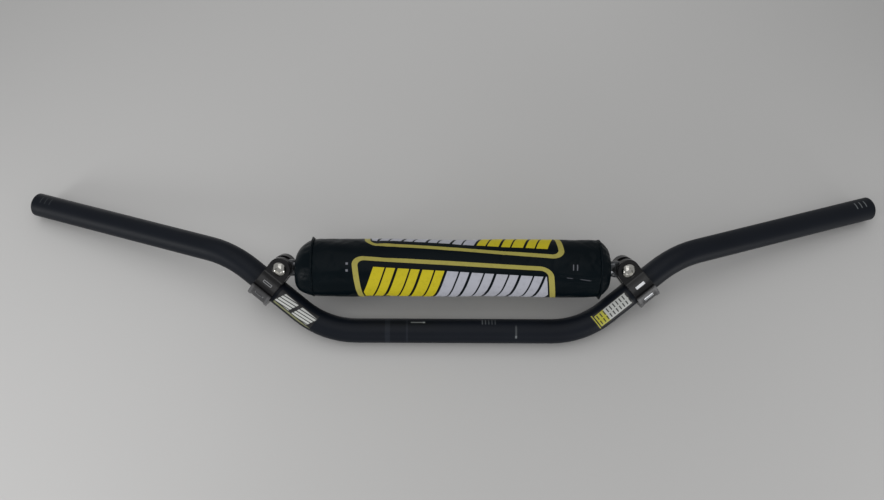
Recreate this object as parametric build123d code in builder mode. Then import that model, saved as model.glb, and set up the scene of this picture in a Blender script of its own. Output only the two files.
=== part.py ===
from build123d import *
import os
from math import cos, degrees, radians, sin, sqrt

# Motocross handlebar with a padded crossbar, in millimetres and degrees.
# +X runs along the centre of the bar, +Z is the way the bar rises, and +Y is the way the grips
# sweep back. The origin is the middle of the straight that the stem clamps hold.

# Handlebar tube
tube_diameter = 22.2
tube_wall = 4.0
centre_span = 233.0
upright_length = 109.5
upright_angle = 39.1
grip_length = 215.2
grip_rise = 12.3
grip_sweep = 16.4
lower_bend_radius = 79.0
upper_bend_radius = 80.0
tube_end_chamfer = 1.0

# Crossbar clamps, each a front and a rear shell
clamp_distance = 66.4
clamp_width = 20.5
clamp_wall = 3.5
clamp_turn = 12.0
clamp_fit = 0.05
clamp_edge_chamfer = 0.6
bolt_offset = 21.1
ear_blend = 2.5
front_ear_thickness = 5.6
rear_ear_thickness = 8.0
crown_slot_length = 9.5
crown_slot_width = 3.8
crown_slot_depth = 1.1
crown_slot_angle = 21.5

# Hook that joins the two shells of a clamp on its outer side
hook_start = 4.0
hook_tooth = 16.0
hook_ridge = 9.0
hook_end = 190.0
hook_wall = 5.9
hook_lip_wall = 1.7
hook_ridge_height = 1.0
hook_clearance = 0.1
hook_rib_width = 2.6
hook_groove_depth = 2.2
hook_groove_start = 48.0
hook_slot_length = 10.0
hook_slot_width = 3.5
hook_slot_depth = 1.1
hook_slot_angle = 27.0

# Clamp bolts and nuts
bolt_diameter = 6.0
bolt_hole_clearance = 0.25
bolt_head_diameter = 12.8
bolt_head_height = 4.4
bolt_head_rim = 1.0
bolt_tip = 0.6
hex_key_flats = 5.0
hex_key_depth = 2.4
nut_flats = 10.0
nut_height = 5.0
nut_clearance = 0.15
thread_clearance = 0.05

# Crossbar
crossbar_diameter = 12.7
crossbar_taper = 4.6
eye_thickness = 6.4
eye_radius = 7.4
eye_round = 1.8
eye_fit = 0.1
eye_neck_clearance = 0.4

# Crossbar pad
pad_diameter = 51.7
pad_end_room = 12.25
pad_shift = 2.0
cover_thickness = 1.2
layer_gap = 0.2
foam_bore_clearance = 0.4
foam_slit_width = 1.5
right_bulge = 9.5
pad_clamp_gap = 0.8
bulge_shoulder_ratio = 0.8
bulge_height_ratio = 0.68
panel_hole_clearance = 2.0
binding_width = 3.0
binding_stand = 2.2
binding_round = 0.9
closure_angle = -35.0
closure_edge_gap = 1.5
flap_width = 22.0
flap_end_margin = 5.0
strip_thickness = 0.8
strip_width = 16.0

# Labels on the uprights
left_label_length = 41.0
right_label_length = 39.0
label_width = 15.4
label_thickness = 0.15
label_fit = 0.02
label_gap = 3.2
label_lean = 6.0

# Handlebar geometry
tube_radius = tube_diameter / 2
lower_corner = Vector(centre_span / 2, 0, 0)
upright_way = Vector(cos(radians(upright_angle)), 0, sin(radians(upright_angle)))
upper_corner = lower_corner + upright_way * upright_length
grip_way = Vector(
    cos(radians(grip_sweep)) * cos(radians(grip_rise)),
    sin(radians(grip_sweep)),
    cos(radians(grip_sweep)) * sin(radians(grip_rise)),
)
grip_end = upper_corner + grip_way * grip_length

# Clamp geometry. The clamp's plane has x along the upright, y towards the crossbar and z along
# the bolt to its head. The section plane cuts across the tube, with x along the bolt.
clamp_centre = lower_corner + upright_way * clamp_distance
bolt_way = Vector(0, -1, 0).rotate(Axis((0, 0, 0), upright_way), clamp_turn)
clamp_plane = Plane(origin=clamp_centre, x_dir=upright_way, z_dir=bolt_way)
section_plane = Plane(origin=clamp_centre, x_dir=bolt_way, z_dir=upright_way)
bolt_centre = clamp_plane.from_local_coords(Vector(0, bolt_offset, 0))
bolt_plane = Plane(origin=bolt_centre, x_dir=upright_way, z_dir=bolt_way)
clamp_bore = tube_radius + clamp_fit
clamp_outer = clamp_bore + clamp_wall
ear_inner = eye_thickness / 2 + eye_fit
front_ear_top = ear_inner + front_ear_thickness
rear_ear_top = ear_inner + rear_ear_thickness
ear_reach = bolt_offset + clamp_width / 2

# Hook geometry, as radii and as angles from the bolt's way round the outer side
hook_outer = clamp_bore + hook_wall
lip_outer = clamp_bore + hook_lip_wall
ridge_outer = lip_outer + hook_ridge_height
hook_play = degrees(hook_clearance / clamp_bore)
ridge_start = hook_start + hook_tooth
lip_end = ridge_start + hook_ridge

# Bolt geometry, as heights along the bolt from the middle of the clamp
bolt_radius = bolt_diameter / 2
bolt_hole_radius = bolt_radius + bolt_hole_clearance
head_radius = bolt_head_diameter / 2
head_section = Plane(
    origin=bolt_centre + bolt_way * front_ear_top,
    x_dir=upright_way,
    z_dir=upright_way.cross(bolt_way),
)
nut_top = -rear_ear_top + nut_height
bolt_end = -rear_ear_top + bolt_tip

# Crossbar geometry. The eye lies square to its bolt, so its way back to the bar is bent a little.
crossbar_radius = crossbar_diameter / 2
crossbar_way = Vector(-1, 0, 0)
eye_way = (crossbar_way - bolt_way * crossbar_way.dot(bolt_way)).normalized()
eye_plane = Plane(origin=bolt_centre, x_dir=eye_way, z_dir=bolt_way)
eye_neck = clamp_width / 2 + eye_neck_clearance
neck_plane = Plane(origin=bolt_centre + eye_way * eye_neck, x_dir=eye_plane.y_dir, z_dir=eye_way)
rod_half = bolt_centre.X - eye_neck - crossbar_taper
rod_plane = Plane(origin=(rod_half, bolt_centre.Y, bolt_centre.Z), x_dir=(0, 1, 0), z_dir=(-1, 0, 0))

# Pad geometry. The pad's axis is the crossbar's, and its section plane has x to the rear, y up.
pad_radius = pad_diameter / 2
pad_length = 2 * (rod_half - pad_end_room)
pad_left = pad_shift - pad_length / 2
pad_right = pad_shift + pad_length / 2
ear_near = bolt_centre.X - clamp_width / 2 - rear_ear_top * bolt_way.X
left_bulge = ear_near + pad_left - cover_thickness - pad_clamp_gap
cover_inner = pad_radius - cover_thickness
foam_radius = cover_inner - layer_gap
pad_axis = Axis((0, bolt_centre.Y, bolt_centre.Z), (1, 0, 0))
pad_profile = Plane(origin=(0, bolt_centre.Y, bolt_centre.Z), x_dir=(1, 0, 0), z_dir=(0, -1, 0))
pad_section = Plane(origin=(pad_shift, bolt_centre.Y, bolt_centre.Z), x_dir=(0, 1, 0), z_dir=(1, 0, 0))
loop_inner = pad_radius + layer_gap
hook_inner = loop_inner + strip_thickness + layer_gap
flap_inner = hook_inner + strip_thickness + layer_gap
flap_outer = flap_inner + cover_thickness
flap_length = pad_length - 2 * flap_end_margin
flap_angle = degrees(flap_width / pad_radius)
strip_angle = degrees(strip_width / pad_radius)
strip_start = closure_angle + (flap_angle - strip_angle) / 2

# Label geometry. Each label's upper end is set off from the clamp above it.
label_top = clamp_distance - clamp_width / 2 - label_gap
label_inner = tube_radius + label_fit
label_half = degrees(label_width / 2 / tube_radius)


def sector(inner, outer, start, end):
    """Face between two circles about the sketch's origin, from one angle to another."""
    with BuildLine() as outline:
        rim = CenterArc((0, 0), outer, start, end - start)
        root = CenterArc((0, 0), inner, end, start - end)
        Line(rim @ 1, root @ 0)
        Line(root @ 1, rim @ 0)
    make_face(outline.edges())


def ear_rectangle(low, high):
    """Section of an ear between two heights along the bolt, from the tube's middle to its tip."""
    with Locations(((low + high) / 2, -ear_reach / 2)):
        Rectangle(high - low, ear_reach)


def clear_tube_and_eye():
    """Cuts the tube's bore and the slot for the crossbar's eye out of a clamp's section."""
    Circle(clamp_bore, mode=Mode.SUBTRACT)
    with Locations((0, -ear_reach)):
        Rectangle(2 * ear_inner, 2 * ear_reach, mode=Mode.SUBTRACT)


def ear_outline():
    """Clamp seen along its bolt: straight sides that end in a half circle about the bolt."""
    with Locations((0, (bolt_offset - hook_outer) / 2)):
        Rectangle(clamp_width, bolt_offset + hook_outer)
    with Locations((0, bolt_offset)):
        Circle(clamp_width / 2)


def radial_plane(angle, radius):
    """Plane that touches a circle round the tube, at an angle from the bolt's way."""
    place = section_plane.from_local_coords(
        Vector(radius * cos(radians(angle)), radius * sin(radians(angle)), 0)
    )
    return Plane(origin=place, x_dir=upright_way, z_dir=place - clamp_centre)


def dome(seam, bulge, depth):
    """Bulging end of the pad, as an arc from the seam to the axis, moved in by a depth."""
    inward = depth if bulge < 0 else -depth
    return ThreePointArc(
        (seam + inward, pad_radius),
        (seam + inward + bulge * bulge_shoulder_ratio, pad_radius * bulge_height_ratio),
        (seam + inward + bulge, 0),
    )


def write(name, builder):
    """Labels a finished piece and writes it to its own file."""
    builder.part.label = name
    export_step(builder.part, f"parts/{name}.step")


os.makedirs("parts", exist_ok=True)

# Handlebar tube: one length bent at four places, swept along its centreline, open at both ends
with BuildPart() as handlebar_tube:
    with BuildLine() as tube_path:
        FilletPolyline(
            (-grip_end.X, grip_end.Y, grip_end.Z),
            (-upper_corner.X, 0, upper_corner.Z),
            (-lower_corner.X, 0, 0),
            lower_corner,
            upper_corner,
            grip_end,
            radius=[upper_bend_radius, lower_bend_radius, lower_bend_radius, upper_bend_radius],
        )
    with BuildSketch(Plane(origin=tube_path.wire() @ 0, z_dir=tube_path.wire() % 0)):
        Circle(tube_radius)
        Circle(tube_radius - tube_wall, mode=Mode.SUBTRACT)
    sweep(path=tube_path.wire())
    tube_ends = handlebar_tube.faces().filter_by(GeomType.PLANE)
    chamfer([end.outer_wire().edge() for end in tube_ends], tube_end_chamfer)
write("handlebar_tube", handlebar_tube)

# Front clamp shell: a half ring with an ear for the bolt head, and a ridged lip on the outer side
with BuildPart() as clamp_front_right:
    with BuildSketch(section_plane):
        sector(clamp_bore, clamp_outer, -90, hook_start)
        sector(clamp_bore, lip_outer, hook_start, lip_end)
        sector(clamp_bore, ridge_outer, ridge_start, lip_end)
        ear_rectangle(ear_inner, front_ear_top)
        clear_tube_and_eye()
    extrude(amount=clamp_width / 2, both=True)
    blend_point = section_plane.from_local_coords(
        Vector(front_ear_top, -sqrt(clamp_outer**2 - front_ear_top**2), 0)
    )
    along_tube = clamp_front_right.edges().filter_by(Axis(clamp_centre, upright_way))
    fillet(along_tube.sort_by_distance(blend_point)[0], ear_blend)
    with BuildSketch(clamp_plane):
        ear_outline()
    extrude(amount=hook_outer, both=True, mode=Mode.INTERSECT)
    ear_face = clamp_front_right.faces().sort_by_distance(bolt_plane.offset(front_ear_top).origin)[0]
    chamfer(ear_face.edges().sort_by_distance(blend_point)[1:], clamp_edge_chamfer)
    with BuildSketch(bolt_plane):
        Circle(bolt_hole_radius)
    extrude(amount=front_ear_top, mode=Mode.SUBTRACT)
    with BuildSketch(bolt_plane.offset(front_ear_top)):
        Circle(head_radius + bolt_hole_clearance)
    extrude(amount=bolt_head_height, mode=Mode.SUBTRACT)
    with BuildSketch(radial_plane(-crown_slot_angle, clamp_outer)):
        RectangleRounded(crown_slot_length, crown_slot_width, crown_slot_width / 4)
    extrude(amount=crown_slot_depth, both=True, mode=Mode.SUBTRACT)
write("clamp_front_right", clamp_front_right)

with BuildPart() as clamp_front_left:
    mirror(clamp_front_right.part, about=Plane.YZ)
write("clamp_front_left", clamp_front_left)

# Rear clamp shell: its hook closes over the front shell's ridge, and its ear holds the nut
with BuildPart() as clamp_rear_right:
    with BuildSketch(section_plane):
        sector(lip_outer + hook_clearance, hook_outer, hook_start + hook_play, ridge_start - hook_play)
        sector(ridge_outer + hook_clearance, hook_outer, ridge_start - hook_play, lip_end + hook_play)
        sector(clamp_bore, hook_outer, lip_end + hook_play, hook_end)
        sector(clamp_bore, clamp_outer, hook_end, 270)
        ear_rectangle(-rear_ear_top, -ear_inner)
        clear_tube_and_eye()
    extrude(amount=clamp_width / 2, both=True)
    with BuildSketch(section_plane):
        sector(hook_outer - hook_groove_depth, hook_outer + hook_groove_depth, hook_groove_start, hook_end)
    extrude(amount=clamp_width / 2 - hook_rib_width, both=True, mode=Mode.SUBTRACT)
    with BuildSketch(radial_plane(hook_slot_angle, hook_outer)):
        RectangleRounded(hook_slot_length, hook_slot_width, hook_slot_width / 4)
    extrude(amount=hook_slot_depth, both=True, mode=Mode.SUBTRACT)
    with BuildSketch(clamp_plane):
        ear_outline()
    extrude(amount=hook_outer, both=True, mode=Mode.INTERSECT)
    ear_face = clamp_rear_right.faces().sort_by_distance(bolt_plane.offset(-rear_ear_top).origin)[0]
    chamfer(ear_face.edges().sort_by_distance(clamp_centre)[1:], clamp_edge_chamfer)
    with BuildSketch(bolt_plane):
        Circle(bolt_hole_radius)
    extrude(amount=-rear_ear_top, mode=Mode.SUBTRACT)
    with BuildSketch(bolt_plane.offset(nut_top)):
        RegularPolygon(nut_flats / 2 + nut_clearance, 6, major_radius=False)
    extrude(amount=-nut_height, mode=Mode.SUBTRACT)
write("clamp_rear_right", clamp_rear_right)

with BuildPart() as clamp_rear_left:
    mirror(clamp_rear_right.part, about=Plane.YZ)
write("clamp_rear_left", clamp_rear_left)

# Clamp bolt: a domed head with a hex socket on a plain shank that stands for the thread
with BuildPart() as clamp_bolt_right:
    with BuildSketch(head_section):
        with BuildLine():
            crown = ThreePointArc(
                (-head_radius, bolt_head_rim),
                (0, bolt_head_height),
                (head_radius, bolt_head_rim),
            )
            Polyline(crown @ 1, (head_radius, 0), (-head_radius, 0), crown @ 0)
        make_face()
        Rectangle(head_radius, bolt_head_height, align=Align.MIN, mode=Mode.INTERSECT)
    revolve(axis=Axis(bolt_centre, bolt_way))
    with BuildSketch(bolt_plane.offset(front_ear_top + bolt_head_height)):
        RegularPolygon(hex_key_flats / 2, 6, major_radius=False)
    extrude(amount=-hex_key_depth, mode=Mode.SUBTRACT)
    with BuildSketch(bolt_plane.offset(bolt_end)):
        Circle(bolt_radius)
    extrude(amount=front_ear_top - bolt_end)
write("clamp_bolt_right", clamp_bolt_right)

with BuildPart() as clamp_bolt_left:
    mirror(clamp_bolt_right.part, about=Plane.YZ)
write("clamp_bolt_left", clamp_bolt_left)

# Hex nut in the rear ear's pocket
with BuildPart() as clamp_nut_right:
    with BuildSketch(bolt_plane.offset(nut_top)):
        RegularPolygon(nut_flats / 2, 6, major_radius=False)
        Circle(bolt_radius + thread_clearance, mode=Mode.SUBTRACT)
    extrude(amount=-nut_height)
write("clamp_nut_right", clamp_nut_right)

with BuildPart() as clamp_nut_left:
    mirror(clamp_nut_right.part, about=Plane.YZ)
write("clamp_nut_left", clamp_nut_left)

# Crossbar: a round rod whose ends are flattened, bent square to the bolts and drilled
with BuildPart() as crossbar_end:
    with BuildSketch(eye_plane):
        Circle(eye_radius)
        Rectangle(eye_neck, 2 * eye_radius, align=(Align.MIN, Align.CENTER))
    extrude(amount=eye_thickness / 2, both=True)
    neck_face = crossbar_end.faces().sort_by(Axis(bolt_centre, eye_way))[-1]
    flat_faces = crossbar_end.faces().filter_by(Axis(bolt_centre, bolt_way))
    fillet([edge for edge in flat_faces.edges() if edge not in neck_face.edges()], eye_round)
    with BuildSketch(neck_plane):
        RectangleRounded(2 * eye_radius, eye_thickness, eye_round)
    with BuildSketch(rod_plane):
        Circle(crossbar_radius)
    loft()
    with BuildSketch(eye_plane):
        Circle(bolt_hole_radius)
    extrude(amount=eye_thickness, both=True, mode=Mode.SUBTRACT)

with BuildPart() as crossbar:
    with BuildSketch(rod_plane):
        Circle(crossbar_radius)
    extrude(amount=2 * rod_half)
    add(crossbar_end.part)
    mirror(crossbar_end.part, about=Plane.YZ)
write("crossbar", crossbar)

# Pad foam: a soft round core with bulging ends, bored for the crossbar and slit to go on it
with BuildPart() as pad_foam:
    with BuildSketch(pad_profile):
        with BuildLine():
            left_end = dome(pad_left, -left_bulge, cover_thickness + 2 * layer_gap)
            right_end = dome(pad_right, right_bulge, cover_thickness + 2 * layer_gap)
            Line(left_end @ 0, right_end @ 0)
            Line(left_end @ 1, right_end @ 1)
        make_face()
        Rectangle(2 * pad_length, 2 * foam_radius, mode=Mode.INTERSECT)
        Rectangle(2 * pad_length, 2 * (crossbar_radius + foam_bore_clearance), mode=Mode.SUBTRACT)
    revolve(axis=pad_axis)
    with BuildSketch(pad_section):
        Rectangle(
            pad_radius,
            foam_slit_width,
            rotation=closure_angle,
            align=(Align.MIN, Align.CENTER),
        )
    extrude(amount=pad_length, both=True, mode=Mode.SUBTRACT)
write("pad_foam", pad_foam)

# Pad cover: a sleeve round the foam, open along the rear, with a flap that laps over the opening
with BuildPart() as pad_cover:
    with BuildSketch(pad_section):
        sector(
            cover_inner,
            pad_radius,
            closure_angle + degrees(closure_edge_gap / pad_radius),
            closure_angle + 360,
        )
    extrude(amount=pad_length / 2, both=True)
    with BuildSketch(pad_section):
        sector(pad_radius, flap_outer, closure_angle - degrees(cover_thickness / pad_radius), closure_angle)
        sector(flap_inner, flap_outer, closure_angle, closure_angle + flap_angle)
    extrude(amount=flap_length / 2, both=True)
write("pad_cover", pad_cover)

# Closure strips: the loop strip on the sleeve, and the hook strip on the inside of the flap
with BuildPart() as pad_loop_strip:
    with BuildSketch(pad_section):
        sector(loop_inner, loop_inner + strip_thickness, strip_start, strip_start + strip_angle)
    extrude(amount=flap_length / 2, both=True)
write("pad_loop_strip", pad_loop_strip)

with BuildPart() as pad_hook_strip:
    with BuildSketch(pad_section):
        sector(hook_inner, hook_inner + strip_thickness, strip_start, strip_start + strip_angle)
    extrude(amount=flap_length / 2, both=True)
write("pad_hook_strip", pad_hook_strip)

# End panels of the cover and the folded binding at each seam, on both ends of the pad
for side, seam, bulge in (("left", pad_left, -left_bulge), ("right", pad_right, right_bulge)):
    with BuildPart() as pad_panel:
        with BuildSketch(pad_profile):
            with BuildLine():
                outer_face = dome(seam, bulge, -cover_thickness)
                inner_face = dome(seam, bulge, 0)
                Line(outer_face @ 0, inner_face @ 0)
                Line(outer_face @ 1, inner_face @ 1)
            make_face()
            with Locations((seam, 0)):
                Rectangle(
                    4 * abs(bulge),
                    2 * (crossbar_radius + panel_hole_clearance),
                    mode=Mode.SUBTRACT,
                )
        revolve(axis=pad_axis)
    write(f"pad_panel_{side}", pad_panel)

    with BuildPart() as pad_binding:
        with BuildSketch(pad_profile):
            with Locations((seam, pad_radius + layer_gap + binding_stand / 2)):
                RectangleRounded(binding_width, binding_stand, binding_round)
        revolve(axis=pad_axis)
    write(f"pad_binding_{side}", pad_binding)

# Labels: thin films that follow the uprights into the lower bends, trimmed square from the front
for side, outward, label_length in (("left", -1, left_label_length), ("right", 1, right_label_length)):
    with BuildPart() as label:
        label_corner = Vector(outward * lower_corner.X, 0, 0)
        label_way = Vector(outward * upright_way.X, 0, upright_way.Z)
        with BuildLine() as label_path:
            FilletPolyline(
                label_corner + label_way * label_top,
                label_corner,
                (0, 0, 0),
                radius=lower_bend_radius,
            )
        with BuildSketch(Plane(origin=label_path.wire() @ 0, x_dir=(0, -1, 0), z_dir=-label_way)):
            sector(
                label_inner,
                label_inner + label_thickness,
                -outward * label_lean - label_half,
                -outward * label_lean + label_half,
            )
        sweep(path=label_path.wire())
        with BuildSketch(Plane(origin=label_corner, x_dir=label_way, z_dir=(0, -1, 0))):
            with Locations((label_top - label_length / 2, 0)):
                Rectangle(label_length, 4 * tube_radius)
        extrude(amount=2 * tube_radius, both=True, mode=Mode.INTERSECT)
    write(f"label_{side}", label)
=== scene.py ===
import bpy
import numpy as np
from mathutils import Matrix, Vector


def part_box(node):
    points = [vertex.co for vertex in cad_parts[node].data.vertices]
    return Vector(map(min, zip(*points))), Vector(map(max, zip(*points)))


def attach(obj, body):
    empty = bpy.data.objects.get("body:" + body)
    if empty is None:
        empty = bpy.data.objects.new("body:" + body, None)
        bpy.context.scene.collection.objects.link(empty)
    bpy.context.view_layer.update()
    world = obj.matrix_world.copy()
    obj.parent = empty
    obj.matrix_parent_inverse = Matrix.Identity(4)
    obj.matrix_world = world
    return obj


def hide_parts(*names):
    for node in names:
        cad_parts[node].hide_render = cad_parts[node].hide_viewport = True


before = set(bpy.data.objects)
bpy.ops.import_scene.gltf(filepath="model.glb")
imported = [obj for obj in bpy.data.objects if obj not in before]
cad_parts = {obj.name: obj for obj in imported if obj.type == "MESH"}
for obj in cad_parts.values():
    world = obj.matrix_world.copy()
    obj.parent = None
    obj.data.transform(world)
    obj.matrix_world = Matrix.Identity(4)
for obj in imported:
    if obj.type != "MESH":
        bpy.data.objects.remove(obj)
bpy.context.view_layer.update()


# The view. The bar lies on a pale table and is looked at from the side that the rider's knees
# would face, with the rise of the bar pointing up the picture. The frame is 884 by 500.
camera_place = (-0.01140, -0.81537, 0.11783)
camera_right = (0.999988, -0.000488, 0.004908)
camera_up = (-0.004874, 0.053895, 0.998535)
camera_back = (-0.000752, -0.998546, 0.053892)
focal_pixels = 900.1
picture_width = 884

lens = bpy.data.cameras.new("camera")
lens.sensor_width = 36.0
lens.lens = lens.sensor_width * focal_pixels / picture_width
lens.clip_start = 0.01
camera = bpy.data.objects.new("camera", lens)
camera.matrix_world = Matrix.Translation(camera_place) @ Matrix(
    (camera_right, camera_up, camera_back)
).transposed().to_4x4()
bpy.context.scene.collection.objects.link(camera)
bpy.context.scene.camera = camera
bpy.context.scene.view_settings.view_transform = "Standard"


# The table: a matt pale grey board, with painted pools of light by its two near corners and a
# weaker one beyond the bar. The bar rests on it with the back of its centre tube and the two ends
# of its grips. The board can't be seen from behind and stops no light, so that the back of the bar
# is lit too.
tube_radius = 0.0111
grip_end = np.array([0.06076, 0.11304])  # to the rear and up from the centre tube's axis
table_gap = 0.0003
table_half = 2.6
table_steps = 9
light_pool_radius, light_pool_blur = 500.0, 900.0


def skin(name, points, faces, uv=None):
    """A smooth-shaded piece from arrays of points and faces. uv gives each point its place on
    the flat cloth, in metres."""
    mesh = bpy.data.meshes.new(name)
    mesh.from_pydata(points.tolist(), [], faces)
    if uv is not None:
        corners = np.empty(len(mesh.loops), np.int32)
        mesh.loops.foreach_get("vertex_index", corners)
        flat = mesh.uv_layers.new(name="cloth").data
        flat.foreach_set("uv", uv[corners].astype(np.float32).ravel())
    mesh.polygons.foreach_set("use_smooth", np.ones(len(mesh.polygons), bool))
    piece = bpy.data.objects.new(name, mesh)
    bpy.context.scene.collection.objects.link(piece)
    return piece


def weave(rows, columns, close_rows=False, close_columns=False):
    """Four-cornered faces between the points of a grid, either way of which may be a ring."""
    i, j = np.meshgrid(
        np.arange(rows if close_rows else rows - 1),
        np.arange(columns if close_columns else columns - 1),
        indexing="ij",
    )
    here, there = i * columns, (i + 1) % rows * columns
    after_j = (j + 1) % columns
    corners = [here + j, there + j, there + after_j, here + after_j]
    return np.stack(corners, -1).reshape(-1, 4).tolist()


table_normal = np.array([grip_end[1], -grip_end[0]]) / np.linalg.norm(grip_end)
table_foot = table_normal * (tube_radius + table_gap)
table_run = np.linspace(-table_half, table_half, table_steps)
across, upward = np.meshgrid(table_run, table_run, indexing="ij")
board_points = np.stack(
    [
        across,
        table_foot[0] - table_normal[1] * upward,
        table_foot[1] + table_normal[0] * upward,
    ],
    -1,
)
table = skin("table", board_points.reshape(-1, 3), weave(table_steps, table_steps))


class Wire:
    """A value in a material. Arithmetic on wires adds Math nodes, and node() adds any other."""

    def __init__(self, tree, socket=None):
        self.tree = tree
        self.socket = socket

    def node(self, kind, settings=None, inputs=None, output=0):
        """Adds a node: its settings are made first, then its sockets get values or wires."""
        made = self.tree.nodes.new(kind)
        for name, value in (settings or {}).items():
            setattr(made, name, value)
        for name, value in (inputs or {}).items():
            if isinstance(value, Wire):
                self.tree.links.new(value.socket, made.inputs[name])
            else:
                made.inputs[name].default_value = value
        return Wire(self.tree, made.outputs[output])

    def maths(self, operation, *others):
        values = dict(enumerate((self, *others)))
        return self.node("ShaderNodeMath", {"operation": operation}, values)

    def __add__(self, other):
        return self.maths("ADD", other)

    def __sub__(self, other):
        return self.maths("SUBTRACT", other)

    def __mul__(self, other):
        return self.maths("MULTIPLY", other)

    def __rsub__(self, other):
        return self * -1.0 + other

    def __abs__(self):
        return self.maths("ABSOLUTE")

    __radd__ = __add__
    __rmul__ = __mul__

    def fraction(self):
        return self.maths("FRACT")

    def length(self, other):
        """The length of an arrow with this part one way and the other part square to it."""
        return (self * self + other * other).maths("SQRT")

    def above(self, limit, softness):
        """0 below the limit and 1 above it, with a soft step of that width."""
        return self.node(
            "ShaderNodeMapRange",
            {"interpolation_type": "SMOOTHSTEP"},
            {"Value": self, "From Min": limit - softness / 2, "From Max": limit + softness / 2},
        )

    def stripe(self, middle, width, blur):
        """1 within half a width of the middle and 0 elsewhere."""
        return 1.0 - abs(self - middle).above(width / 2, blur)

    def along(self, direction):
        """How far a point lies along a direction, in millimetres, for a wire with a point."""
        product = {"operation": "DOT_PRODUCT"}
        return 1000.0 * self.node(
            "ShaderNodeVectorMath", product, {0: self, 1: direction}, output="Value"
        )

    def noise(self, scale, detail=2.0, roughness=0.5):
        """Soft random variation over a point, from 0 to 1."""
        inputs = {"Vector": self, "Scale": scale, "Detail": detail, "Roughness": roughness}
        return self.node("ShaderNodeTexNoise", None, inputs)

    def cells(self, scale):
        """Distance to the nearest of many scattered points, for leather grain, foam and nap."""
        return self.node("ShaderNodeTexVoronoi", None, {"Vector": self, "Scale": scale})

    def colour(self, first, second):
        """A colour that goes from the first to the second as this value goes from 0 to 1. Either
        is a wire or three numbers."""
        first, second = [c if isinstance(c, Wire) else (*c, 1.0) for c in (first, second)]
        ends = {0: self, 6: first, 7: second}
        return self.node("ShaderNodeMix", {"data_type": "RGBA"}, ends, output=2)

    def bump(self, strength, depth):
        """A surface normal raised by this height, in metres of depth."""
        height = {"Height": self, "Strength": strength, "Distance": depth}
        return self.node("ShaderNodeBump", None, height)


def finish(name):
    """A new material, its shader, and a wire with the point on the object."""
    material = bpy.data.materials.new(name)
    material.use_nodes = True
    shader = material.node_tree.nodes["Principled BSDF"]
    point = Wire(material.node_tree).node("ShaderNodeTexCoord", output="Object")
    return material, shader, point


def feed(shader, **values):
    """Gives the shader's sockets wires or plain numbers. Their names have underscores here."""
    for name, value in values.items():
        socket = shader.inputs[name.replace("_", " ")]
        if isinstance(value, Wire):
            value.tree.links.new(value.socket, socket)
        else:
            socket.default_value = value


def dress(piece, material):
    """Gives a piece its one material."""
    piece.data.materials.clear()
    piece.data.materials.append(material)


table_paint_with_light_pools, shader, point = finish("table_paint_with_light_pools")
x, z = point.along((1, 0, 0)), point.along((0, 0, 1))
# Painted light: three soft pools lighten the board's colour, two by its near corners and a weaker
# one beyond the bar.
shade = point.noise(2.6) * 0.06
for light_pool_x, light_pool_z, depth in ((-580, -380, 0.82), (680, -470, 0.88), (20, 520, 0.45)):
    distance = (x - light_pool_x).length(z - light_pool_z)
    shade = shade + (1.0 - distance.above(light_pool_radius, light_pool_blur)) * depth
feed(
    shader,
    Base_Color=shade.colour((0.285, 0.285, 0.280), (0.71, 0.705, 0.695)),
    Roughness=0.8,
    Specular_IOR_Level=0.3,
)
board = Wire(table_paint_with_light_pools.node_tree, shader.outputs[0])
behind = board.node("ShaderNodeNewGeometry", output="Backfacing")
shadow_ray = board.node("ShaderNodeLightPath", output="Is Shadow Ray")
clear = board.node("ShaderNodeBsdfTransparent")
choice = {0: behind.maths("MAXIMUM", shadow_ray), 1: board, 2: clear}
shown = board.node("ShaderNodeMixShader", None, choice)
surface = table_paint_with_light_pools.node_tree.nodes["Material Output"].inputs["Surface"]
table_paint_with_light_pools.node_tree.links.new(shown.socket, surface)
dress(table, table_paint_with_light_pools)


# The room: even grey air does half of the lighting, and a wide lamp before the table much of the
# rest. A window stands at the left and a lamp at the lower right, each with a small one beyond it
# that puts a glint on the bolts. Others stand overhead, below, and behind the bar for its back.
bar_middle = Vector((0.0, 0.0, 0.05))


def lamp(name, place, width, watts):
    """A square soft lamp at a place, turned to the middle of the bar, that isn't seen itself."""
    light = bpy.data.lights.new(name, "AREA")
    light.shape = "SQUARE"
    light.size = width
    light.energy = watts
    holder = bpy.data.objects.new(name, light)
    holder.visible_camera = False
    holder.location = place
    aim = bar_middle - Vector(place)
    holder.rotation_euler = aim.to_track_quat("-Z", "Y").to_euler()
    bpy.context.scene.collection.objects.link(holder)


lamp("lamp_front", (-0.1, -1.3, 0.3), 0.9, 3.2)
lamp("window_left", (-1.44, -0.85, -0.45), 0.5, 6.6)
lamp("lamp_low_right", (1.2, -0.65, -1.0), 0.5, 4.6)
lamp("glint_left", (-1.4, -0.2, -0.5), 0.28, 2.4)
lamp("glint_right", (1.15, -0.15, -0.95), 0.26, 2.2)
lamp("lamp_high", (-0.2, -1.5, 1.6), 1.6, 6.5)
lamp("lamp_low", (0.0, -1.0, -1.6), 1.2, 4.0)
lamp("lamp_back_left", (-0.8, 1.3, 0.7), 1.0, 13.0)
lamp("lamp_back_right", (0.9, 1.2, -0.5), 1.0, 10.0)
world = bpy.data.worlds.new("room")
bpy.context.scene.world = world
world.use_nodes = True
world.node_tree.nodes["Background"].inputs["Color"].default_value = (0.52, 0.52, 0.525, 1.0)


# Handlebar tube: a drawn aluminium tube, bent at four places and shot-blasted, then anodised a
# bluish black. White centring marks are printed on its middle and trim marks near its ends.
line_height = 8.6
first_tick, tick_step = 26.0, 2.9
grip_way = (0.93728, 0.28234, 0.20436)  # the direction of the right-hand grip
grip_start, grip_height = 202.95, 69.06
trim_places = (194.8, 200.0, 205.2)

tube_finish, shader, point = finish("black_anodising")
grain = point.noise(2600.0, 2.0, 0.6)
cloud = point.noise(26.0, 3.0, 0.55)
x, y, z = point.along((1, 0, 0)), point.along((0, 1, 0)), point.along((0, 0, 1))

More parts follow.
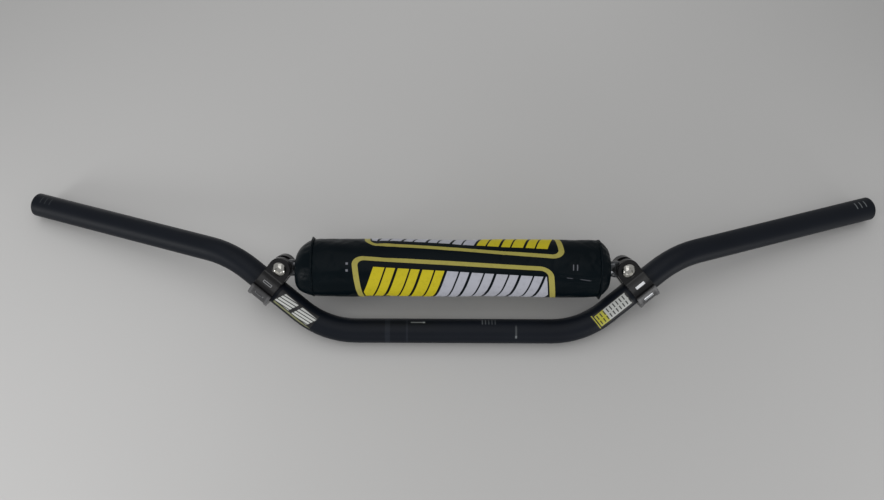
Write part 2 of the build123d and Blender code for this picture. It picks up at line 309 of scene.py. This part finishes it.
long_line = x.stripe(-32.2, 12.8, 0.8) * z.stripe(line_height, 0.8, 0.4) * 0.5
line_head = x.stripe(-26.8, 2.0, 0.8) * z.stripe(line_height, 1.1, 0.4) * 0.4
centre_marks = long_line + line_head
for tick in range(5):
    across_tick = x.stripe(first_tick + tick_step * tick, 0.9, 0.9)
    centre_marks = centre_marks + across_tick * z.stripe(8.9, 3.4, 1.0) * (0.30 - 0.03 * tick)
faint_line = z.stripe(1.0, 10.0, 3.0) * 0.16 + z.stripe(-4.0, 2.4, 1.2) * 0.4
centre_marks = centre_marks + x.stripe(56.3, 1.6, 1.0) * faint_line
centre_marks = centre_marks * (1.0 - y.above(0.0, 0.5))

down_grip = abs(x) * grip_way[0] + y * grip_way[1] + z * grip_way[2] - grip_start
above_axis = z - (down_grip * grip_way[2] + grip_height)
behind_axis = y - down_grip * grip_way[1]
trim_marks = sum(down_grip.stripe(place, 1.0, 0.5) for place in trim_places)
trim_marks = trim_marks * above_axis.stripe(6.4, 5.2, 0.8) * (1.0 - behind_axis.above(0.0, 0.5))
trim_marks = trim_marks * (x.above(0.0, 2.0) * 0.26 + 0.06)

knurl = x.stripe(-59.6, 4.6, 0.6) + x.stripe(-42.0, 1.6, 0.6)
metal = cloud.colour((0.0032, 0.0046, 0.0078), (0.0050, 0.0070, 0.0112))
metal = (knurl * 0.3).colour(metal, (0.026, 0.031, 0.041))
feed(
    shader,
    Base_Color=(centre_marks * 0.75 + trim_marks).colour(metal, (0.38, 0.41, 0.42)),
    Roughness=0.37 + cloud * 0.12 + grain * 0.06,
    Specular_IOR_Level=0.12,
    Normal=grain.bump(0.35, 0.00002),
)
dress(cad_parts["handlebar_tube"], tube_finish)


# Crossbar: a round aluminium rod with flattened ends, brushed along its length and anodised a
# thin black that keeps some of the metal's shine. Only its ends show, between pad and clamps.
brushing = (0.04, 1.0, 1.0)

rod_finish, shader, point = finish("thin_black_anodising")
stretched = point.node("ShaderNodeMapping", None, {"Vector": point, "Scale": brushing})
hairline = stretched.noise(2400.0, 3.0, 0.6)
feed(
    shader,
    Base_Color=hairline.colour((0.038, 0.040, 0.043), (0.085, 0.088, 0.092)),
    Metallic=0.8,
    Roughness=0.12 + hairline * 0.12,
    Normal=hairline.bump(0.25, 0.00002),
)
dress(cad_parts["crossbar"], rod_finish)


# Crossbar clamps: forged aluminium shells, anodised a glossy black. The slots in the shells are
# milled after anodising. They show bare metal on the right clamp; on the left one the floors keep
# the black as painted shade, and only their edges are lightened, as a painted highlight. The hooks
# carry a dull grey as painted sheen.
upright_lean = np.radians(39.1)
lean_x, lean_z = float(np.cos(upright_lean)), float(np.sin(upright_lean))
lower_corner = 116.5
clamp_place = 66.4
bolt_turn = 12.0
slot_length, slot_lip, slot_depth = 9.6, 0.12, 2.0
end_edge, side_edge = 1.0, 0.7
hook_reach = 14.85
rib_start = 7.6


def upright_point(point):
    """The point folded on to the right-hand side and counted from the lower corner of the bar, as
    three wires in millimetres: along the upright, inwards from its axis, and to the rear."""
    out = abs(point.along((1, 0, 0))) - lower_corner
    height = point.along((0, 0, 1))
    along, inward = out * lean_x + height * lean_z, height * lean_x - out * lean_z
    return along, inward, point.along((0, 1, 0))


for part, slot_angle, slot_width, surface in (
    ("front", -21.5, 2.6, 14.65),
    ("rear", 27.0, 3.6, 17.05),
):
    shell_finish, shader, point = finish(f"clamp_{part}_finish")
    texture = point.noise(1500.0, 3.0, 0.6)
    smear = point.noise(120.0, 3.0, 0.6)
    along, inward, rear = upright_point(point)
    reach = inward.length(rear)
    turn = np.radians(bolt_turn + slot_angle)
    sine, cosine = float(np.sin(turn)), float(np.cos(turn))
    outwards = inward * -sine - rear * cosine
    sideways = rear * sine - inward * cosine

    slot = 1.0 - reach.above(surface - slot_lip, 0.1)
    slot = slot * outwards.above(surface - slot_depth, 0.2)
    slot = slot * along.stripe(clamp_place, slot_length, 0.2)
    slot = slot * sideways.stripe(0.0, slot_width, 0.2)
    middle = along.stripe(clamp_place, slot_length - 2 * end_edge, 0.4)
    middle = middle * sideways.stripe(0.0, slot_width - 2 * side_edge, 0.4)
    # Painted shade and highlight: the whole slot is bare metal on the right clamp, but on the left
    # only a third of it shows at the edges, and the floors stay black as shade.
    lit_slot_side = point.along((1, 0, 0)).above(0.0, 1.0)
    lit_bare_slot = slot * lit_slot_side.maths("MAXIMUM", (1.0 - middle) * 0.3)

    # Painted sheen: the outer faces of the hooks are greyed, more on their ribs, where the glossy
    # black reflects the pale room.
    hook_sheen = reach.above(hook_reach, 0.1) * (1.0 - inward.above(-6.0, 4.0))
    on_ribs = abs(along - clamp_place).above(rib_start, 0.8)
    hook_sheen = hook_sheen * (0.3 + 0.5 * smear) * (0.5 + 0.5 * on_ribs)
    anodised = smear.colour((0.0027, 0.0027, 0.0031), (0.0070, 0.0070, 0.0078))
    shell = hook_sheen.colour(anodised, (0.130, 0.130, 0.134))
    feed(
        shader,
        Base_Color=lit_bare_slot.colour(shell, (0.62, 0.63, 0.645)),
        Metallic=lit_bare_slot * 0.6,
        Roughness=0.16 + smear * 0.14 + lit_bare_slot * 0.2 + hook_sheen * 0.25,
        Specular_IOR_Level=0.27,
        Normal=texture.bump(0.3, 0.00003),
    )
    for side in ("left", "right"):
        dress(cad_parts[f"clamp_{part}_{side}"], shell_finish)


# Clamp bolts and nuts: M6 steel, bright zinc plated. The heads are round and carry small nicks
# from the key, and the nuts sit in the pockets of the rear shells.
zinc_finish, shader, point = finish("zinc_plating")
scuff = point.noise(420.0, 4.0, 0.65)
pits = point.noise(3400.0, 2.0, 0.6)
feed(
    shader,
    Base_Color=scuff.colour((0.20, 0.196, 0.18), (0.60, 0.59, 0.555)),
    Metallic=1.0,
    Roughness=0.08 + scuff * 0.09,
    Normal=pits.bump(0.2, 0.00002),
)
for side in ("left", "right"):
    dress(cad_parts[f"clamp_bolt_{side}"], zinc_finish)
    dress(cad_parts[f"clamp_nut_{side}"], zinc_finish)


# Pad core: a soft black foam log, bored for the crossbar and slit along its length so that it
# goes on over the rod. It fills the vinyl sleeve, and shows only in the holes of the end panels.
cover_low, cover_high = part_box("pad_cover")
pad_left, pad_right = cover_low.x, cover_high.x
pad_radius = (cover_high.z - cover_low.z) / 2
pad_height = (cover_high.z + cover_low.z) / 2
pad_depth = cover_low.y + pad_radius
vinyl = 0.0012
foam_bore = 0.00675
foam_radius = pad_radius - vinyl - 0.0010
foam_half = (pad_right - pad_left) / 2 - 0.0004
foam_straight, foam_draw = 0.93, 0.55
closure = np.radians(-35.0)
slit_half = np.radians(1.6)


def round_pad(along, radius, angle):
    """Points about the pad's axis. The angle is 0 at the rear and goes up over the top."""
    rearward = pad_depth + radius * np.cos(angle)
    upward = pad_height + radius * np.sin(angle)
    return np.stack(np.broadcast_arrays(along, rearward, upward), -1)


def foam_core():
    """A ring with a slit, carried along the pad: the outer arc and the bore's arc joined at the
    slit. Near each end the outer arc draws in along a quarter ellipse, to round the log's edge."""
    angle = closure + slit_half + np.linspace(0, 1, 61) * (2 * np.pi - 2 * slit_half)
    station = np.sin(np.linspace(-1, 1, 41) * np.pi / 2)[:, None]
    place = (pad_left + pad_right) / 2 + foam_half * station
    past_straight = np.clip((np.abs(station) - foam_straight) / (1 - foam_straight), 0, 1)
    draw = np.sqrt(1 - past_straight**2 * foam_draw)
    rim = round_pad(place, foam_bore + (foam_radius - foam_bore) * draw, angle[None, ::-1])
    bore = round_pad(place, foam_bore + 0 * draw, angle[None, :])
    ring = np.concatenate([rim, bore], 1)
    rows, count = ring.shape[:2]
    k = np.arange(len(angle) - 1)
    end = np.stack([k, k + 1, count - 2 - k, count - 1 - k], -1)
    other_end = end[:, ::-1] + (rows - 1) * count
    faces = weave(rows, count, close_columns=True) + end.tolist() + other_end.tolist()
    return skin("foam_core", ring.reshape(-1, 3), faces)


foam = foam_core()
foam_finish, shader, point = finish("black_foam")
pores = point.cells(1400.0)
feed(
    shader,
    Base_Color=pores.colour((0.008, 0.008, 0.009), (0.035, 0.035, 0.037)),
    Roughness=0.9,
    Specular_IOR_Level=0.2,
    Normal=pores.bump(0.8, 0.0003),
)
dress(foam, foam_finish)
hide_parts("pad_foam")
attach(foam, "root")


# Pad sleeve: one sheet of black coated vinyl wrapped round the foam. It starts under the rear
# flap, goes once round and laps over itself. Its ends are sewn to the panels, which pucker it.
flap_radius = pad_radius + 0.0034
flap_width = 0.022
lap = closure + 2 * np.pi
sleeve_start = closure + 0.0015 / pad_radius
climb, start_reach, flap_reach = 0.14, 0.5, 0.3  # in radians round the pad
seam_hold = 0.0035
sleeve_rows, sleeve_columns = 161, 129


def crease(along, around, start, end, width, depth):
    """A fold line between two places on the cloth: a groove with a raised lip above it, the
    depth times the slope of a bell curve across the line, fading out at both its ends."""
    start, end = np.array(start), np.array(end)
    run = end - start
    length = np.hypot(*run)
    t = ((along - start[0]) * run[0] + (around - start[1]) * run[1]) / length**2
    off = ((around - start[1]) * run[0] - (along - start[0]) * run[1]) / length
    fade = np.clip(t * (1 - t) * 4, 0, 1) ** 0.7 * ((t > 0) & (t < 1))
    return depth * fade * (off / width) * np.exp(0.5 - 0.5 * (off / width) ** 2)


def sleeve_height(along, around):
    """How far the vinyl stands off a true cylinder, in millimetres, at a place on the cloth in
    millimetres: slow swells of the foam, and puckers by the seams."""
    left, right = along - pad_left * 1000, pad_right * 1000 - along
    angle = around / (pad_radius * 1000)
    swell = 0.14 * np.sin(along / 31.0 + 1.3) * np.cos(2 * angle + 0.6)
    swell = swell + 0.08 * np.sin(along / 17.0 + 3 * angle)
    pucker = np.zeros_like(along)
    for edge, shift in ((left, 0.0), (right, 2.1)):
        wave = np.sin(19 * angle + shift + 0.8 * np.sin(5 * angle))
        wave = wave + 0.6 * np.sin(31 * angle + 2.0 * shift)
        pucker += 0.13 * wave * np.exp(-edge / 6.0) - 0.5 * np.exp(-edge / 4.0)
    return swell + pucker


def pressed_folds(along, around):
    """The few sharp folds that stay in the vinyl from its packing, in millimetres."""
    long_fold = crease(along, around, (90, -4.1), (127, -8.9), 1.5, 0.9)
    short_fold = crease(along, around, (98, -11.0), (131, -13.5), 1.6, 0.3)
    return long_fold + short_fold


def sleeve_sheet(rows, columns):
    """The wrapped sheet: along the pad in one parameter, and round it in the other on a radius
    that rises smoothly to the flap's where the sheet laps over itself. With it go each point's
    place on the flat cloth, and how free the point is to move, from 0 to 1."""
    along = np.linspace(pad_left, pad_right, rows)[:, None]
    angle = np.linspace(lap + flap_width / pad_radius, sleeve_start, columns)[None, :]
    around = (np.pi - angle) * pad_radius
    height = sleeve_height(along * 1000 + 0 * angle, around * 1000 + 0 * along) / 1000
    rise = np.clip(1 + (angle - lap) / climb, 0, 1)
    radius = pad_radius + (flap_radius - pad_radius) * rise * rise * (3 - 2 * rise)
    near_start = np.clip(1 - (angle - sleeve_start) / start_reach, 0, 1)
    near_flap = np.maximum(near_start, np.clip(1 + (angle - lap) / flap_reach, 0, 1))
    points = round_pad(along, radius + height * (1 - 0.9 * near_flap), angle)
    cloth = np.stack(np.broadcast_arrays(along, around), -1)
    off_seam = np.clip(np.minimum(along - pad_left, pad_right - along) / seam_hold, 0, 1)
    free = off_seam * np.clip(1 - near_flap * 1.4, 0, 1)
    return points.reshape(-1, 3), cloth.reshape(-1, 2), free.ravel()


def settle(piece, start, free, slack, farthest):
    """Lets the vinyl find its own folds, with Blender's cloth under a little pressure from the
    foam. It is cut larger than its shape by the slack, held where free is 0, and no point ends
    further from its start than farthest. Returns the settled points."""
    levels, moments = 4, 20
    held = piece.vertex_groups.new(name="held")
    for level in range(1, levels + 1):
        chosen = np.flatnonzero(np.round((1 - free) * levels) == level)
        held.add(chosen.tolist(), level / levels, "REPLACE")
    drape = piece.modifiers.new("drape", "CLOTH")
    drape.settings.vertex_group_mass = "held"
    drape.settings.shrink_min = -slack
    drape.settings.quality = 6
    drape.settings.mass = 0.2
    drape.settings.tension_stiffness = drape.settings.compression_stiffness = 25.0
    drape.settings.shear_stiffness = 8.0
    drape.settings.bending_stiffness = 0.35
    drape.settings.use_pressure = True
    drape.settings.uniform_pressure_force = 1.2
    drape.settings.effector_weights.gravity = 0.0
    drape.point_cache.frame_end = moments
    for moment in range(1, moments + 1):
        bpy.context.scene.frame_set(moment)
    settled = piece.evaluated_get(bpy.context.evaluated_depsgraph_get()).to_mesh()
    place = np.empty(len(settled.vertices) * 3, np.float32)
    settled.vertices.foreach_get("co", place)
    piece.modifiers.remove(drape)
    bpy.context.scene.frame_set(1)
    moved = place.reshape(-1, 3) - start
    far = np.linalg.norm(moved, axis=1, keepdims=True)
    return start + moved * np.minimum(1, farthest / np.maximum(far, 1e-9))


def lay(piece, points):
    """Writes new places for the points of a piece into its mesh."""
    piece.data.vertices.foreach_set("co", points.astype(np.float32).ravel())
    piece.data.update()


def thicken(piece):
    """Gives a vinyl sheet its wall, inwards from its outer face."""
    wall = piece.modifiers.new("vinyl", "SOLIDIFY")
    wall.thickness = vinyl
    wall.offset = -1.0


points, cloth, free = sleeve_sheet(sleeve_rows, sleeve_columns)
pad_sleeve = skin("pad_sleeve", points, weave(sleeve_rows, sleeve_columns), cloth)
points = settle(pad_sleeve, points, free, slack=0.0035, farthest=0.0009)
axis = np.array([pad_depth, pad_height])
out = points[:, 1:] - axis
reach = np.linalg.norm(out, axis=1)
folds = pressed_folds(cloth[:, 0] * 1000, cloth[:, 1] * 1000) / 1000
reach_kept = np.where(free > 0, np.clip(reach, pad_radius - 0.0005, None), reach)
stretch = ((reach_kept + folds * free) / reach)[:, None]
lay(pad_sleeve, np.concatenate([points[:, :1], axis + out * stretch], 1))
thicken(pad_sleeve)

# The print's sizes are in millimetres on the flat cloth, s along the pad and t round it. The
# frames' corners are longer than they are high, so t is stretched before they are worked out.
frame_lean, frame_stretch = 0.12, 1.35
frame_half_height, frame_corner = 36.9, 12.0
line_inset, line_width = 2.6, 5.0
bar_slant, bar_beat, bar_inset, bar_height = 0.33, 21.6, 6.6, 36.6
bars_middle, bars_run = 16.2, 162.2
fold_slope = 0.13
vinyl_dark, vinyl_light = (0.0008, 0.0028, 0.0042), (0.0017, 0.0043, 0.0062)


def framed(s, t, middle, half, corner):
    """Signed distance to a rectangle with rounded corners, in millimetres: the length of what
    lies past the inner rectangle, less the corner's radius."""
    past_s = (abs(s - middle) - (half[0] - corner)).maths("MAXIMUM", 0.0)
    past_t = (abs(t) - (half[1] - corner)).maths("MAXIMUM", 0.0)
    return past_s.length(past_t) - corner


sleeve_finish, shader, point = finish("printed_vinyl")
flat = point.node("ShaderNodeUVMap", {"uv_map": "cloth"})
s, t = flat.along((1, 0, 0)), flat.along((0, 1, 0))
yellow_line, yellow_block, silver_block = 0.0, 0.0, 0.0
# Each frame's middle and half length along the pad, its place round the pad and its twist, then
# which way its bars run and where their yellow gives way to silver.
for middle_s, half_s, middle_t, twist, turned, change in (
    (1.2, 88.7, -19.5, 0.0553, 1.0, -13.0),
    (6.3, 88.3, 45.4, 0.0853, -1.0, -24.3),
):
    level = t + s * twist - middle_t
    leaning, stretched = s + level * frame_lean, level * frame_stretch
    rim = framed(leaning, stretched, middle_s, (half_s, frame_half_height), frame_corner)
    yellow_line = yellow_line + rim.stripe(-line_inset, line_width, 0.3)
    swept = (s - level * bar_slant) * turned - change
    beat = (swept * (1 / bar_beat)).fraction()
    bars = beat.stripe(0.27, 0.46, 0.02) + beat.stripe(0.75, 0.36, 0.02)
    bars = bars * level.stripe(0.0, bar_height, 0.3) * swept.stripe(bars_middle, bars_run, 0.4)
    bars = bars * (1.0 - rim.above(-bar_inset, 0.3))
    second_half = swept.above(0.0, 0.4)
    yellow_block = yellow_block + bars * (1.0 - second_half)
    silver_block = silver_block + bars * second_half

dots = s.stripe(-94.0, 2.0, 0.8) * (t.stripe(5.3, 2.0, 0.8) + t.stripe(-0.8, 2.0, 0.8))
dashes = (s.stripe(104.4, 0.9, 0.5) + s.stripe(107.9, 0.9, 0.5)) * t.stripe(2.6, 5.2, 0.8)
down_fold = t + s * fold_slope
fold = down_fold.stripe(8.0, 0.8, 0.9) * s.stripe(109.0, 22.0, 8.0)
# Painted highlight: light dashes along the lower lip of the long fold, where it catches the light.
fold_glint = down_fold.stripe(6.1, 0.8, 0.6)
fold_glint = fold_glint * (s.stripe(101.5, 5.0, 2.0) + s.stripe(115.5, 9.0, 3.0))
kept = 0.9 + 0.1 * point.noise(240.0, 4.0, 0.65).above(0.42, 0.2)
pebble = point.cells(1500.0)
handled = point.noise(38.0, 3.0)
ink = handled.colour(vinyl_dark, vinyl_light)
ink = (yellow_line * kept).colour(ink, (0.315, 0.280, 0.070))
ink = (yellow_block * kept).colour(ink, (0.46, 0.390, 0.018))
# The silver mix also carries the fold's painted highlight.
silver = silver_block * kept + dots * 0.45 + dashes * 0.3 + fold_glint * 0.18
ink = silver.colour(ink, (0.355, 0.362, 0.405))
inked = yellow_line + yellow_block + silver_block
feed(
    shader,
    Base_Color=ink,
    Roughness=0.28 + handled * 0.12 + inked * 0.12,
    Specular_IOR_Level=0.055,
    Normal=(pebble * 0.5 + inked * 0.35 - fold * 12.0).bump(0.25, 0.00006),
)
dress(pad_sleeve, sleeve_finish)
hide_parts("pad_cover")
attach(pad_sleeve, "root")


# Closure: a loop strip on the sleeve and a hook strip inside the flap, both woven nylon tape, and
# two rows of thread that hold the hook strip to the flap.
thread_rows = np.array([0.0035, 0.0185])
stitch_step, stitch_length, thread_thickness = 0.0036, 0.0027, 0.0006

tape_finish, shader, point = finish("closure_tape")
nap = point.cells(900.0)
feed(
    shader,
    Base_Color=nap.colour((0.008, 0.008, 0.009), (0.035, 0.035, 0.038)),
    Roughness=0.85,
    Specular_IOR_Level=0.2,
    Normal=nap.bump(0.8, 0.0004),
)
dress(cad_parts["pad_loop_strip"], tape_finish)
dress(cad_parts["pad_hook_strip"], tape_finish)


def stitches(name, heads, ways, outs, length, thread):
    """One mesh of many short stitches. Each is a round thread whose ends dive in: along the
    stitch it is a sine arc, and across it a circle that narrows to the ends."""
    run = np.linspace(-1, 1, 7)[None, :, None]
    turn = np.linspace(0, 2 * np.pi, 6, endpoint=False)[None, None, :]
    width = thread / 2 * np.sqrt(np.clip(1.04 - run**2, 0, 1))
    lift = thread * 0.35 * np.cos(run * np.pi / 2)
    side = np.cross(outs, ways)
    place = (
        heads[:, None, None]
        + ways[:, None, None] * (run * length / 2)[..., None]
        + side[:, None, None] * (width * np.cos(turn))[..., None]
        + outs[:, None, None] * (lift + width * np.sin(turn))[..., None]
    )
    count, rows, columns = place.shape[:3]
    first = (np.arange(count) * rows * columns)[:, None, None]
    faces = (first + np.array(weave(rows, columns, close_columns=True))[None]).reshape(-1, 4)
    tip = first[:, 0] + np.arange(columns)[None, ::-1]
    tail = first[:, 0] + np.arange(columns)[None, :] + (rows - 1) * columns
    faces = faces[:, ::-1].tolist() + tip.tolist() + tail.tolist()
    return skin(name, place.reshape(-1, 3), faces)


thread_finish, shader, point = finish("black_thread")
ply = point.noise(2200.0)
feed(
    shader,
    Base_Color=ply.colour((0.011, 0.012, 0.013), (0.032, 0.033, 0.036)),
    Roughness=0.6,
    Normal=ply.bump(0.6, 0.0001),
)
stitch_along = np.arange(pad_left + 0.004, pad_right - 0.003, stitch_step)
angle, along = np.meshgrid(lap + thread_rows / pad_radius, stitch_along, indexing="ij")
angle, along = angle.ravel(), along.ravel()
flap_thread = stitches(
    "flap_thread",
    round_pad(along, flap_radius - 0.00005, angle),
    np.broadcast_to([1.0, 0.0, 0.0], (angle.size, 3)),
    np.stack([0 * angle, np.cos(angle), np.sin(angle)], -1),
    stitch_length,
    thread_thickness,
)
dress(flap_thread, thread_finish)
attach(flap_thread, "root")


# End panels: a round of vinyl sewn into each end of the sleeve, with a bound hole for the rod.
# The foam pushes it out in a dome that hangs fuller at the bottom, and it puckers at the seam.
panel_hole = 0.0083
panel_rows, panel_columns = 61, 144


def end_panel(name, seam, outward, bulge, full, sag):
    """A dome in polar form: it stands off the seam's plane by the bulge times one less a power
    of the radius. The power is full, and greater low down by the sag. It rolls in at the hole."""
    share = (np.linspace(0, 1, panel_rows) ** 0.9)[:, None]
    angle = np.linspace(0, 2 * np.pi, panel_columns, endpoint=False)[None, :]
    radius = panel_hole + (pad_radius - 0.0002 - panel_hole) * share
    dome = 1 - (radius / pad_radius) ** (full - sag * np.sin(angle))
    pucker = 0.00030 * np.sin(23 * angle + 0.7 * np.sin(4 * angle)) * np.exp(-(1 - share) * 9)
    gather = 0.00018 * np.sin(15 * angle + 1.0) * np.exp(-share * 7)
    lip = -0.0016 * np.exp(-share * 26)
    stand = (bulge - 0.0006) * dome + vinyl * (1 - share**6) + pucker + gather + lip
    points = round_pad(seam + outward * stand, radius, angle)[:, ::outward].reshape(-1, 3)
    flat = np.stack([radius * np.cos(angle), radius * np.sin(angle)], -1)[:, ::outward]
    faces = weave(panel_rows, panel_columns, close_columns=True)
    piece = skin(name, points, faces, flat.reshape(-1, 2))
    free = np.clip(np.minimum((share - 0.15) / 0.3, (1 - share) / 0.08), 0, 1) + 0 * angle
    settled = settle(piece, points, free.ravel(), slack=0.006, farthest=0.0005)
    stand = np.minimum((settled[:, 0] - seam) * outward, bulge + vinyl)
    settled[:, 0] = seam + outward * stand
    lay(piece, settled)
    thicken(piece)
    return piece


panel_finish, shader, point = finish("plain_vinyl")
pebble = point.cells(1500.0)
handled = point.noise(45.0, 3.0)
feed(
    shader,
    Base_Color=handled.colour(vinyl_dark, vinyl_light),
    Roughness=0.28 + handled * 0.12,
    Specular_IOR_Level=0.055,
    Normal=pebble.bump(0.22, 0.00004),
)
for side, seam, outward, full, sag in (
    ("left", pad_left, -1, 5.0, 1.8),
    ("right", pad_right, 1, 3.9, 0.3),
):
    panel_low, panel_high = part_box(f"pad_panel_{side}")
    bulge = (panel_high.x - seam if outward > 0 else seam - panel_low.x) - vinyl
    panel = end_panel(f"pad_end_{side}", seam, outward, bulge, full, sag)
    dress(panel, panel_finish)
    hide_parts(f"pad_panel_{side}")
    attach(panel, "root")


# Seams: at each end the edges of sleeve and panel are turned out and sewn through in a narrow
# bound ridge. It stands up where the pad was pulled tight, and lies folded over elsewhere.
seam_rows, seam_columns = 240, 16
seam_low, seam_tall = 0.0005, 0.0016


def seam_ridge(name, seam, outward, proud_at):
    """A flattened ring round the pad: a superellipse section whose height swells to its full
    stand about one angle and is low elsewhere, and which leans towards the panel."""
    angle = np.linspace(0, 2 * np.pi, seam_rows, endpoint=False)[:, None]
    turn = np.linspace(2 * np.pi, 0, seam_columns, endpoint=False)[None, :]
    proud = np.exp(-((np.angle(np.exp(1j * (angle - proud_at))) / 0.6) ** 2))
    stand = seam_low + seam_tall * proud + 0.0001 * np.sin(29 * angle)
    thick = (0.0011 + 0.0001 * np.sin(17 * angle)) * (1 - 0.35 * proud)
    c, d = np.cos(turn), np.sin(turn)
    section = (np.abs(c) ** 3 + np.abs(d) ** 3) ** (-1 / 3)
    up = stand * (0.5 + 0.62 * d * section)
    narrowing = 1 - 0.6 * np.clip(up / (seam_low + seam_tall), 0, 1)
    over = thick * c * section * narrowing + outward * (0.0004 + 0.35 * up)
    points = round_pad(seam + over, pad_radius - 0.0004 + up, angle)
    return skin(name, points.reshape(-1, 3), weave(seam_rows, seam_columns, True, True))


for side, seam, outward, proud_at in (
    ("left", pad_left, -1, np.radians(100)),
    ("right", pad_right, 1, np.radians(-95)),
):
    ridge = seam_ridge(f"pad_seam_{side}", seam, outward, proud_at)
    dress(ridge, panel_finish)
    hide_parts(f"pad_binding_{side}")
    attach(ridge, "root")


# Upright labels: a printed film under clear gloss, stuck along each upright below its clamp. The
# left one has two blocks of slanted silver stripes, the right one small blocks on grey and yellow.
label_black = (0.010, 0.010, 0.011)
label_edge, label_silver = (0.17, 0.177, 0.092), (0.46, 0.47, 0.45)
label_yellow, label_grey = (0.35, 0.333, 0.033), (0.37, 0.38, 0.365)
stripe_beat, block_beat = 2.8, 3.6

for side in ("left", "right"):
    film, shader, point = finish(f"label_film_{side}")
    along, inward, rear = upright_point(point)
    if side == "left":
        slanted = along + inward * 0.45
        blocks = slanted.stripe(42.5, 15.5, 0.4) + slanted.stripe(22.5, 17.0, 0.4)
        blocks = blocks * inward.stripe(-0.3, 10.4, 0.4)
        lines = ((inward + along * 0.12) * (1 / stripe_beat) + 0.42).fraction()
        silver = blocks * (1.0 - lines.stripe(0.5, 0.32, 0.08) * 0.95)
        paper = inward.above(-6.4, 0.3).colour(label_edge, label_black)
        shade = silver.colour(paper, label_silver)
    else:
        beat = (along * (1 / block_beat) + 0.2).fraction().stripe(0.5, 0.34, 0.08)
        blocks = beat * (inward.stripe(2.6, 4.0, 0.4) + inward.stripe(-2.8, 4.2, 0.4))
        field = inward.stripe(-0.4, 11.6, 0.4) * along.stripe(34.2, 34.5, 0.4)
        bright = field * (1.0 - blocks * 0.9) + along.stripe(15.3, 0.9, 0.3)
        paper = along.above(27.0, 0.5).colour(label_yellow, label_grey)
        shade = bright.colour(label_black, paper)
    mottle = point.noise(900.0, 3.0, 0.6)
    feed(shader, Base_Color=shade, Roughness=0.30 + mottle * 0.12, Specular_IOR_Level=0.25)
    dress(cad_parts[f"label_{side}"], film)
